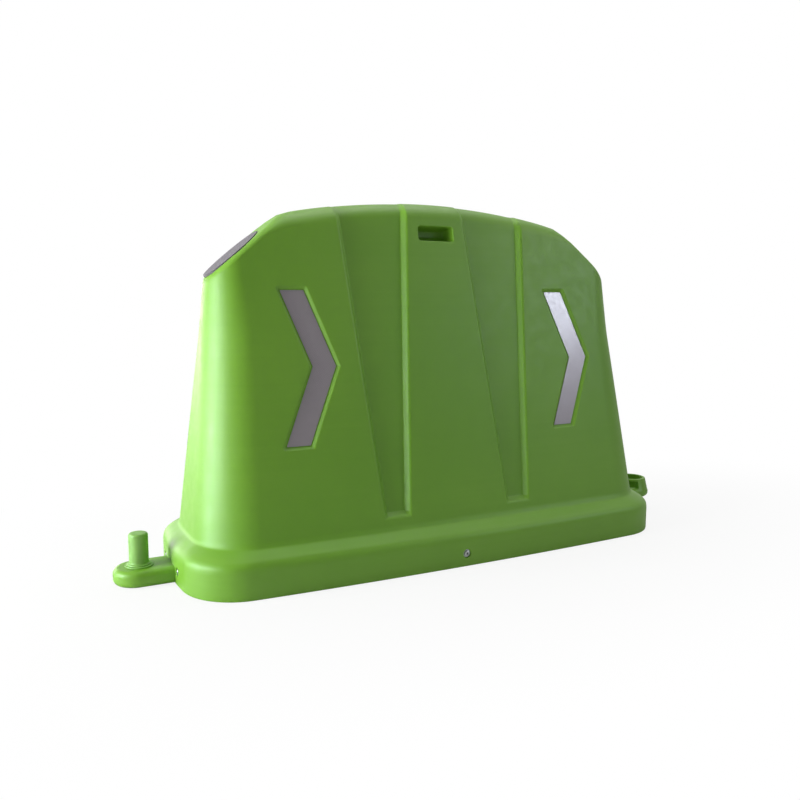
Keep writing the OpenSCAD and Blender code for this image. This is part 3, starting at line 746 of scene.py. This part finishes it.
def cut_couplings(hood):
    """The eye's bore, the flute over the pin's lug, and the pin's and its bolt's seats."""
    mouth = EYE_R + 1.6
    eye = [(mouth, 20), (mouth, EYE_LUG_Z - 0.1), (EYE_R + 0.5, EYE_LUG_Z + 0.5),
           (EYE_R, EYE_LUG_Z + 1.6), (EYE_R, GUARD_Z - 1.6), (EYE_R + 0.5, GUARD_Z - 0.5),
           (mouth, GUARD_Z + 0.1), (mouth, 130)]
    combine(hood, lathe(eye, RING_SIDES, Matrix.Translation((LUG_X, 0, 0))))
    top = PIN_LUG_TOP
    flute = [(FLUTE_R, top), (FLUTE_R - FLUTE_DEPTH * 0.45, top + 24),
             (FLUTE_R - FLUTE_DEPTH - 3, top + 52)]
    place = Matrix.Translation((-SKIRT_L / 2 - FLUTE_R + FLUTE_DEPTH, FLUTE_Y, 0))
    combine(hood, lathe(flute, RING_SIDES, place))
    seat = top - SPIGOT_H - SPIGOT_PLAY
    for r, low, high in ((SPIGOT_R + SPIGOT_PLAY, seat, top + 20), (PIN_BOLT_R, -1, top),
                         (BOLT_HEAD_R, -2, seat - LUG_WEB)):
        bore = lathe([(r, low), (r, high)], BORE_SIDES, Matrix.Translation((-PIN_X, 0, 0)))
        combine(hood, bore)


def make_hood():
    """The moulded hood: what is joined first, and then what is cut from it."""
    hood = hollow_body()
    add_pads_and_lugs(hood)
    for side in (-1, 1):
        combine(hood, oval_cutter(side))
    cut_screw_seats(hood)
    cut_couplings(hood)
    settle_normals(hood, 38)
    return hood


def make_pin():
    """Coupling pin with two stepped collars, hollow where its insert sits."""
    r, place = PIN_R, Matrix.Translation((-PIN_X, 0, PIN_LUG_TOP))
    profile = [(PIN_INSERT_R, -SPIGOT_H), (SPIGOT_R, -SPIGOT_H), (SPIGOT_R, 0), (29.4, 0),
               (30, 0.6), (30, 1.9), (29.6, 2.7), (28.7, 3.1), (26.2, 3.2), (25.5, 3.6),
               (25.5, 5.0), (25.1, 5.7), (24.2, 6.05), (23.1, 6.2), (21.9, 7.0), (21, 8.2),
               (r, 10), (r, 66.6), (r - 0.25, 68.2), (r - 0.9, 69.8), (r - 1.9, 71),
               (r - 3.2, 71.7), (r - 5, 72), (4, 72)]
    pin = as_object("moulded_pin", lathe(profile, RING_SIDES, place))
    hole = [(PIN_INSERT_R, -18), (PIN_INSERT_R, 1), (PIN_BOLT_R, 1.01), (PIN_BOLT_R, 29), (4, 30)]
    combine(pin, lathe(hole, SCREW_SIDES, place))
    settle_normals(pin, 30)
    return pin


def sheet_solid(name, layers, place, flat):
    """Thin sheet whose UV map holds its own plane's coordinates in centimetres."""
    bm = layered(layers)
    uv = bm.loops.layers.uv.new("sheet")
    for face in bm.faces:
        for loop in face.loops:
            p = loop.vert.co / MM
            loop[uv].uv = (p.x / 10, (p.y if flat else p.z) / 10)
    move_solid(bm, place)
    sheet = as_object(name, bm)
    settle_normals(sheet, 50)
    return sheet


def chevron_sheet(name, x, rear):
    d = CHEVRON_DEPTH
    profile = [(-0.3, d), (0, d - 0.3), (0, d - SHEET_T + 0.3), (-0.3, d - SHEET_T)]
    layers = [[(p.x, depth, p.y) for p in filleted(grown(CHEVRON, grow), SHEET_CORNER)]
              for grow, depth in profile]
    return sheet_solid(name, layers, chevron_place(x, rear), False)


def oval_sheet(name, side):
    top = OVAL_PROUD
    profile = [(-0.3, -OVAL_DEPTH), (0, -OVAL_DEPTH + 0.3), (0, top - 0.8),
               (-0.25, top - 0.25), (-0.8, top)]
    return sheet_solid(name, oval_layers(profile), facet_place(side), True)


# Node trees

SOCKETS = {"Geometry": "NodeSocketGeometry", "Vector": "NodeSocketVector"}


class Wire:
    """Short way to write a node tree."""

    def __init__(self, tree):
        self.tree = tree

    def feed(self, node, inputs):
        """Links a node's inputs to outputs, or gives them values."""
        for key, value in inputs.items():
            if isinstance(value, bpy.types.NodeSocket):
                self.tree.links.new(value, node.inputs[key])
            else:
                node.inputs[key].default_value = value

    def node(self, kind, inputs=None, **settings):
        made = self.tree.nodes.new(kind)
        for key, value in settings.items():
            setattr(made, key, value)
        self.feed(made, inputs or {})
        return made

    def noise(self, vector, scale, detail, roughness):
        return self.node("ShaderNodeTexNoise", {
            "Vector": vector, "Scale": scale, "Detail": detail, "Roughness": roughness
        }).outputs["Fac"]

    def ramp(self, value, low, high, to_low=0.0, to_high=1.0):
        return self.node("ShaderNodeMapRange", {
            "Value": value, "From Min": low, "From Max": high, "To Min": to_low, "To Max": to_high
        }, interpolation_type="SMOOTHSTEP").outputs["Result"]

    def math(self, operation, a, b, clamp=False):
        return self.node("ShaderNodeMath", {0: a, 1: b}, operation=operation,
                         use_clamp=clamp).outputs[0]

    def times(self, a, b, clamp=False):
        return self.math("MULTIPLY", a, b, clamp)

    def mix(self, factor, a, b):
        return self.node("ShaderNodeMix", {0: factor, 6: a, 7: b}, data_type="RGBA").outputs[2]

    def mix_value(self, factor, a, b):
        return self.node("ShaderNodeMix", {0: factor, 2: a, 3: b}, data_type="FLOAT").outputs[0]

    def stretch(self, vector, scale, rotation=(0, 0, 0)):
        return self.node("ShaderNodeMapping", {
            "Vector": vector, "Scale": scale, "Rotation": rotation}).outputs[0]

    def bump(self, height, strength, distance, normal=None):
        inputs = {"Height": height, "Strength": strength, "Distance": distance}
        if normal is not None:
            inputs["Normal"] = normal
        return self.node("ShaderNodeBump", inputs).outputs[0]

    def use(self, group, **inputs):
        return self.node("ShaderNodeGroup", inputs, node_tree=group).outputs


def new_group(kind, name, inputs, outputs):
    """Node group's wire, inputs and end node; SOCKETS lists what isn't a plain number."""
    group = bpy.data.node_groups.new(name, kind)
    for way, sockets in (("INPUT", inputs), ("OUTPUT", dict.fromkeys(outputs))):
        for label, value in sockets.items():
            socket = group.interface.new_socket(
                label, in_out=way, socket_type=SOCKETS.get(label, "NodeSocketFloat"))
            if value is not None:
                socket.default_value = value
    w = Wire(group)
    return w, w.node("NodeGroupInput").outputs, w.node("NodeGroupOutput")


# Screws and washers by geometry nodes

def fixing_tree(name, build, sizes, material):
    """Tree that sets one fixing part at each point, turned to the point's own direction."""
    w, source, target = new_group("GeometryNodeTree", name, {"Geometry": None, **sizes},
                                  ["Geometry"])
    part = build(w, source["Width"], source["Height"], source["Bore"])
    facing = w.node("GeometryNodeInputNamedAttribute", {"Name": "facing"},
                    data_type="FLOAT_VECTOR")
    turn = w.node("FunctionNodeAlignRotationToVector", {"Vector": facing.outputs["Attribute"]},
                  axis="Z")
    spread = w.node("GeometryNodeInstanceOnPoints", {
        "Points": source["Geometry"], "Instance": part, "Rotation": turn.outputs[0]})
    real = w.node("GeometryNodeRealizeInstances", {0: spread.outputs[0]})
    paint = w.node("GeometryNodeSetMaterial", {"Geometry": real.outputs[0], "Material": material})
    w.feed(target, {"Geometry": paint.outputs[0]})
    return w.tree


def cone_part(w, sides, top, bottom, height, share, lift=0):
    """Cone or cylinder between two radii; its depth and lift are shares of the height."""
    cone = w.node("GeometryNodeMeshCone", {
        "Vertices": sides, "Radius Top": top, "Radius Bottom": bottom,
        "Depth": w.times(height, share)})
    offset = w.node("ShaderNodeCombineXYZ", {"Z": w.times(height, lift)})
    return w.node("GeometryNodeTransform", {
        "Geometry": cone.outputs["Mesh"], "Translation": offset.outputs[0]}).outputs[0]


def carve(w, solid, tools, operation="DIFFERENCE"):
    first = "Mesh 1" if operation == "DIFFERENCE" else "Mesh 2"
    node = w.node("GeometryNodeMeshBoolean", {first: solid}, operation=operation, solver="EXACT")
    for tool in tools:
        w.feed(node, {"Mesh 2": tool})
    return node.outputs["Mesh"]


def screw_part(w, width, height, key):
    """Low round head with a bevelled rim, a hexagon socket and its shank."""
    rim_r, shoulder_r, crown_r, shank_r = (w.times(width, share)
                                           for share in (0.5, 0.46, 0.34, 0.285))
    sides = SCREW_SIDES
    rim = cone_part(w, sides, rim_r, rim_r, height, 0.35)
    step = cone_part(w, sides, shoulder_r, rim_r, height, 0.36, 0.34)
    top = cone_part(w, sides, crown_r, shoulder_r, height, 0.30, 0.70)
    shank = cone_part(w, SHANK_SIDES, shank_r, shank_r, height, 9.4, -9.3)
    head = carve(w, rim, [step, top, shank], "UNION")
    # A hexagon's corner radius is 0.577 of its width over the flats
    key_r = w.times(key, 0.577)
    return carve(w, head, [cone_part(w, 6, key_r, key_r, height, 1, 0.38)])


def washer_part(w, width, height, bore):
    """Flat ring with a bevelled upper edge."""
    r, inner, hole_r = w.times(width, 0.5), w.times(width, 0.485), w.times(bore, 0.5)
    disc = cone_part(w, SCREW_SIDES, r, r, height, 0.8)
    bevel = cone_part(w, SCREW_SIDES, inner, r, height, 0.2, 0.8)
    hole = cone_part(w, SHANK_SIDES, hole_r, hole_r, height, 3, -1)
    return carve(w, carve(w, disc, [bevel], "UNION"), [hole])


def fixing_points(name, depth):
    """One point at each screw, at a depth below the skirt's face, facing out."""
    bm = bmesh.new()
    for (x, y), (dx, dy) in screw_places():
        bm.verts.new(((x + dx * depth) * MM, (y + dy * depth) * MM, SCREW_Z * MM))
    made = as_object(name, bm)
    attribute = made.data.attributes.new("facing", "FLOAT_VECTOR", "POINT")
    for item, (_, (dx, dy)) in zip(attribute.data, screw_places()):
        item.vector = (-dx, -dy, 0)
    return made


def grow_fixings(name, depth, build, material, **sizes):
    """The six fixings of one kind, as one plain mesh."""
    sizes = {label: size * MM for label, size in sizes.items()}
    made = fixing_points(name, depth)
    tree = fixing_tree(name + " set", build, sizes, material)
    modifier = made.modifiers.new("set", "NODES")
    modifier.node_group = tree
    for item in tree.interface.items_tree:
        if item.in_out == "INPUT" and item.name in sizes:
            modifier[item.identifier] = sizes[item.name]
    bake(made)
    made.data.shade_smooth()
    made.data.set_sharp_from_angle(angle=math.radians(25))
    return made


# Colours and shader groups

def colour(r, g, b):
    """Linear colour from screen values of 0 to 255."""
    return tuple((c / 255 / 12.92 if c <= 10 else ((c / 255 + 0.055) / 1.055) ** 2.4)
                 for c in (r, g, b)) + (1,)


def shaded(tone, share):
    """A colour made lighter or darker."""
    return tuple(min(1, c * share) for c in tone[:3]) + (1,)


def grain_group():
    """Fine skin of a moulded or cast surface."""
    w, source, target = new_group("ShaderNodeTree", "moulded grain",
                                  {"Vector": None, "Scale": 400.0}, ["Height", "Mask"])
    vector, scale = source["Vector"], source["Scale"]
    fine = w.noise(vector, scale, 4, 0.6)
    broad = w.noise(vector, w.times(scale, 0.09), 3, 0.5)
    w.feed(target, {"Height": w.math("ADD", w.times(fine, 0.6), w.times(broad, 0.4)),
                    "Mask": broad})
    return w.tree


def scuff_group():
    """Rubbed patches and short scratches that fade out between two heights."""
    w, source, target = new_group(
        "ShaderNodeTree", "handling scuffs",
        {"Vector": None, "Low": 0.0, "High": 0.1, "Amount": 0.5}, ["Mask"])
    vector = source["Vector"]
    height = w.node("ShaderNodeSeparateXYZ", {0: vector}).outputs["Z"]
    near = w.ramp(height, source["Low"], source["High"], 1, 0)
    streaks = w.ramp(w.noise(w.stretch(vector, (14, 14, 190)), 1.0, 5, 0.65), 0.60, 0.74)
    patches = w.ramp(w.noise(vector, 9, 4, 0.6), 0.50, 0.72)
    spots = w.ramp(w.noise(vector, 260, 3, 0.7), 0.66, 0.76)
    marks = w.math("ADD", w.times(streaks, patches), w.times(spots, 0.35), True)
    w.feed(target, {"Mask": w.times(w.times(marks, near), source["Amount"], True)})
    return w.tree


def flow_group():
    """Faint level lines that a mould leaves as the shell cools."""
    w, source, target = new_group("ShaderNodeTree", "flow lines",
                                  {"Vector": None, "Pitch": 1.0}, ["Mask"])
    vector = source["Vector"]
    lines = w.noise(w.stretch(vector, (1.4, 1.4, 95)), source["Pitch"], 3, 0.6)
    clouds = w.noise(vector, 3.2, 2, 0.5)
    w.feed(target, {"Mask": w.times(w.ramp(lines, 0.38, 0.66), w.ramp(clouds, 0.30, 0.62))})
    return w.tree


# Materials

GRAIN, SCUFFS, FLOW = grain_group(), scuff_group(), flow_group()
SHELL_TONES = colour(107, 160, 36), colour(114, 166, 42)
SHELL_SPECK, SHELL_FLOW = colour(84, 134, 30), colour(126, 176, 56)
# The second colour here is painted light: a pale green that paints paler light onto a piece
SHELL_SCUFF, PAINTED_PALE_LIGHT = colour(146, 176, 104), colour(176, 214, 176)
CRUMB_DARK, CRUMB_LIGHT = (0.012, 0.012, 0.013, 1), (0.045, 0.045, 0.047, 1)
CRUMB_TINTED = (0.16, 0.15, 0.13, 1)


def new_material(name):
    """Material, its wire, its shader and the outputs of its texture coordinates."""
    material = bpy.data.materials.new(name)
    material.use_nodes = True
    w = Wire(material.node_tree)
    return material, w, w.tree.nodes["Principled BSDF"], w.node("ShaderNodeTexCoord").outputs


def shell_material(name, scuff_top, grain_scale, painted_light_share):
    """Coloured polyethylene with a satin moulded skin."""
    material, w, shader, place = new_material(name)
    spot = place["Object"]
    grain = w.use(GRAIN, Vector=spot, Scale=grain_scale)
    flow = w.use(FLOW, Vector=spot, Pitch=1.0)["Mask"]
    scuffs = w.use(SCUFFS, Vector=spot, Low=0.0, High=scuff_top, Amount=0.55)["Mask"]
    clouds = w.ramp(w.noise(spot, 2.6, 3, 0.55), 0.32, 0.70)
    specks = w.ramp(w.noise(spot, 330, 2, 0.5), 0.62, 0.80)
    base = w.mix(clouds, *SHELL_TONES)
    # Painted light: this share of pale green paints paler light over the whole piece; the pin
    # takes some, the hood none
    base = w.mix(painted_light_share, base, PAINTED_PALE_LIGHT)
    base = w.mix(w.times(flow, 0.10), base, SHELL_FLOW)
    base = w.mix(w.times(specks, 0.20), base, SHELL_SPECK)
    base = w.mix(w.times(scuffs, 0.7), base, SHELL_SCUFF)
    rough = w.ramp(grain["Mask"], 0.25, 0.75, 0.44, 0.52)
    skin = w.bump(grain["Height"], 0.10, 0.0006)
    w.feed(shader, {"Base Color": base,
                    "Roughness": w.math("ADD", rough, w.times(scuffs, 0.22), True),
                    "Normal": w.bump(scuffs, 0.12, 0.0005, skin),
                    "IOR": 1.52, "Specular IOR Level": 0.5})
    return material


def rubber_material():
    """Pressed crumb rubber with a few coloured crumbs."""
    material, w, shader, place = new_material("crumb rubber")
    spot = place["Object"]
    crumbs = w.node("ShaderNodeTexVoronoi", {"Vector": spot, "Scale": 260}, feature="F1").outputs
    chance = w.node("ShaderNodeSeparateColor", {0: crumbs["Color"]}).outputs
    base = w.mix(chance[0], CRUMB_DARK, CRUMB_LIGHT)
    grain = w.use(GRAIN, Vector=spot, Scale=500.0)
    skin = w.bump(crumbs["Distance"], 0.6, 0.0008)
    w.feed(shader, {"Base Color": w.mix(w.ramp(chance[1], 0.93, 0.97), base, CRUMB_TINTED),
                    "Roughness": w.ramp(chance[2], 0.0, 1.0, 0.72, 0.95),
                    "Normal": w.bump(grain["Height"], 0.2, 0.0004, skin)})
    return material


def metal_material(name, tone, dark, roughness):
    """Plated or turned metal with fine tool marks."""
    material, w, shader, place = new_material(name)
    spot = place["Object"]
    grain = w.use(GRAIN, Vector=spot, Scale=1500.0)["Mask"]
    marks = w.noise(w.stretch(spot, (900, 900, 90)), 1.0, 3, 0.6)
    w.feed(shader, {"Base Color": w.mix(w.ramp(grain, 0.35, 0.65), tone, dark),
                    "Roughness": w.ramp(marks, 0.3, 0.7, roughness - 0.08, roughness + 0.10),
                    "Metallic": 1.0, "Normal": w.bump(marks, 0.10, 0.0002)})
    return material


def sheet_material(name, tone, roughness, metal, coat, gloss):
    """Reflective sheeting: a fine lattice of sealed cells under a clear film."""
    material, w, shader, place = new_material(name)
    spot = place["UV"]

    def bands(vector, direction, scale, distortion=0.0):
        return w.node("ShaderNodeTexWave",
                      {"Vector": vector, "Scale": scale, "Distortion": distortion},
                      wave_type="BANDS", bands_direction=direction).outputs["Fac"]

    turned = w.stretch(spot, (1, 1, 1), (0, 0, 0.6))
    lattice = w.math("MAXIMUM", *(w.ramp(bands(turned, direction, 0.9), 0.90, 1.0)
                                  for direction in "XY"))
    ribs = bands(spot, "Y", 2.6, 0.2)
    dull = w.ramp(w.noise(spot, 1.1, 4, 0.6), 0.35, 0.75)
    base = w.mix(w.times(lattice, 0.25), tone, shaded(tone, 1.7))
    base = w.mix(w.times(ribs, 0.22), base, shaded(tone, 0.62))
    base = w.mix(w.times(dull, 0.10), base, shaded(tone, 0.75))
    w.feed(shader, {"Base Color": base,
                    "Roughness": w.math("ADD", w.times(dull, 0.12), roughness, True),
                    "Metallic": metal, "Specular IOR Level": gloss,
                    "Coat Weight": coat, "Coat Roughness": 0.12,
                    "Normal": w.bump(lattice, 0.15, 0.0003)})
    return material


# Pieces

shell = shell_material("green moulded shell", 0.085, 420.0, 0.0)
# The pin's shell is mixed toward pale green as painted light on its shaded side
pin_shell = shell_material("green moulded pin", 0.10, 700.0, 0.13)
rubber = rubber_material()
steel = metal_material("plated steel", (0.56, 0.57, 0.58, 1), (0.42, 0.43, 0.45, 1), 0.34)
brass = metal_material("turned brass", (0.72, 0.52, 0.22, 1), (0.60, 0.42, 0.16, 1), 0.30)
sheeting = sheet_material("reflective sheeting", colour(170, 162, 168), 0.28, 0.38, 0.2, 0.5)
end_sheeting = sheet_material("dull reflective sheeting", colour(118, 115, 119),
                              0.62, 0.0, 0.0, 0.08)

finish_piece(make_hood(), shell, "shell", "hood")
finish_piece(make_pin(), pin_shell, "shell", "coupling_pin")
for face, rear in (("front", False), ("rear", True)):
    for end, x in (("left", CHEVRON_LEFT), ("right", CHEVRON_RIGHT)):
        finish_piece(chevron_sheet(f"sheet_{face}_{end}", x, rear), sheeting,
                     "reflective_sheet", f"chevron_{face}_{end}")
for end, side in (("left", -1), ("right", 1)):
    finish_piece(oval_sheet("oval_" + end, side), end_sheeting, "reflective_sheet",
                 "reflector_" + end)

screws = grow_fixings("socket_screws", DIMPLE_DEPTH - WASHER_T, screw_part, steel,
                      Width=HEAD_D, Height=HEAD_H, Bore=KEY)
finish_piece(screws, steel, "steel", "side_screws")
washers = grow_fixings("flat_washers", DIMPLE_DEPTH, washer_part, steel,
                       Width=WASHER_D, Height=WASHER_T, Bore=SCREW_D + WASHER_PLAY)
finish_piece(washers, steel, "steel", "side_washers")

for node, material in (("ballast_slab", rubber), ("pin_bolt", steel), ("pin_washer", steel),
                       ("pin_insert", brass), ("side_inserts", brass)):
    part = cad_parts[node]
    part.data.materials.clear()
    part.data.materials.append(material)


# Studio, in metres

WHITE = (1, 1, 1, 1)
FLOOR_TONE, FLOOR_RADIUS, FLOOR_Z = (0.84, 0.84, 0.84, 1), 30, -0.0005
SUNLIT, DAYLIGHT = (0.80, 0.91, 1.0), (0.68, 0.73, 1.0)


def pale_floor():
    """Pale floor that the camera sees fade to white, save for the object's shadow."""
    bm = bmesh.new()
    bmesh.ops.create_circle(bm, cap_ends=True, segments=64, radius=FLOOR_RADIUS)
    floor = as_object("floor", bm)
    floor.location.z = FLOOR_Z
    material, w, shader, place = new_material("pale floor")
    w.feed(shader, {"Base Color": FLOOR_TONE, "Roughness": 0.9, "Specular IOR Level": 0.1})
    # It fades over an ellipse that is twice as long as it is wide
    away = w.node("ShaderNodeVectorMath", {0: w.stretch(place["Object"], (0.5, 1, 1))},
                  operation="LENGTH").outputs["Value"]
    fade = w.ramp(away, 0.25, 0.9, 0.86, 1.0)
    seen = w.node("ShaderNodeLightPath").outputs["Is Camera Ray"]
    glow = w.node("ShaderNodeEmission", {"Color": WHITE})
    blend = w.node("ShaderNodeMixShader", {
        0: w.times(seen, fade), 1: shader.outputs[0], 2: glow.outputs[0]})
    w.feed(w.tree.nodes["Material Output"], {"Surface": blend.outputs[0]})
    floor.data.materials.append(material)


def lamp(name, place, aim, width, height, power, tint=WHITE[:3], lights=True, mirrored=True):
    """Area lamp; one that doesn't light is only seen mirrored, and the other way round."""
    data = bpy.data.lights.new(name, "AREA")
    data.shape = "RECTANGLE"
    data.size, data.size_y = width, height
    data.energy = power
    data.color = tint
    made = bpy.data.objects.new(name, data)
    scene.collection.objects.link(made)
    made.location = place
    made.visible_camera = False
    made.visible_diffuse, made.visible_glossy = lights, mirrored
    made.rotation_euler = (Vector(aim) - Vector(place)).to_track_quat("-Z", "Z").to_euler()


def room():
    """World that is paler behind the barrier than in front of it, and white to the camera."""
    world = bpy.data.worlds.new("studio")
    scene.world = world
    world.use_nodes = True
    w = Wire(world.node_tree)
    path = w.node("ShaderNodeLightPath").outputs
    place = w.node("ShaderNodeTexCoord").outputs["Generated"]
    behind = w.node("ShaderNodeSeparateXYZ", {0: place}).outputs["Y"]
    soft = w.ramp(behind, -0.8, 0.9, 0.162, 0.40)
    mirrored = w.ramp(behind, -0.8, 0.9, 0.20, 1.0)
    shine = w.math("ADD", path["Is Glossy Ray"], path["Is Transmission Ray"], True)
    strength = w.mix_value(shine, soft, mirrored)
    w.feed(w.tree.nodes["Background"],
           {"Color": WHITE, "Strength": w.mix_value(path["Is Camera Ray"], strength, 1.0)})


def studio_light():
    """Windows at the left, soft light from above and a weak lamp at the right."""
    room()
    lamp("window_left", (-3.2, 0.12, 1.05), (-0.5, 0, 0.33), 0.85, 1.3, 94, mirrored=False)
    # The pale band down the left end, and below it the one on the skirt's end
    lamp("pane_left", (-3.2, 0.15, 0.85), (-0.5, 0, 0.4), 1.0, 2.0, 70, DAYLIGHT, lights=False)
    lamp("sill_left", (-1.5, 0.05, 0.04), (-0.8, 0, 0.4), 1.3, 0.4, 27, DAYLIGHT, lights=False)
    lamp("window_side", (-4.5, -0.85, 1.3), (0, -0.1, 0.4), 0.8, 1.4, 38)
    lamp("window_back", (-1.9, 3.0, 0.46), (-0.6, 0, 0.3), 2.2, 0.9, 38, lights=False)
    lamp("window_far", (1.5, -0.7, 1.7), (0.5, -0.05, 0.75), 0.6, 0.6, 3.4)
    lamp("top_soft", (0.5, 0.3, 3.2), (0.1, 0, 0.3), 2.4, 1.8, 34)
    # The glint on the right chevron
    lamp("window_right", (2.7, -2.5, 1.75), (0.33, -0.12, 0.6), 0.55, 0.8, 21, SUNLIT,
         lights=False)


pale_floor()
studio_light()
scene.view_settings.view_transform = "Standard"
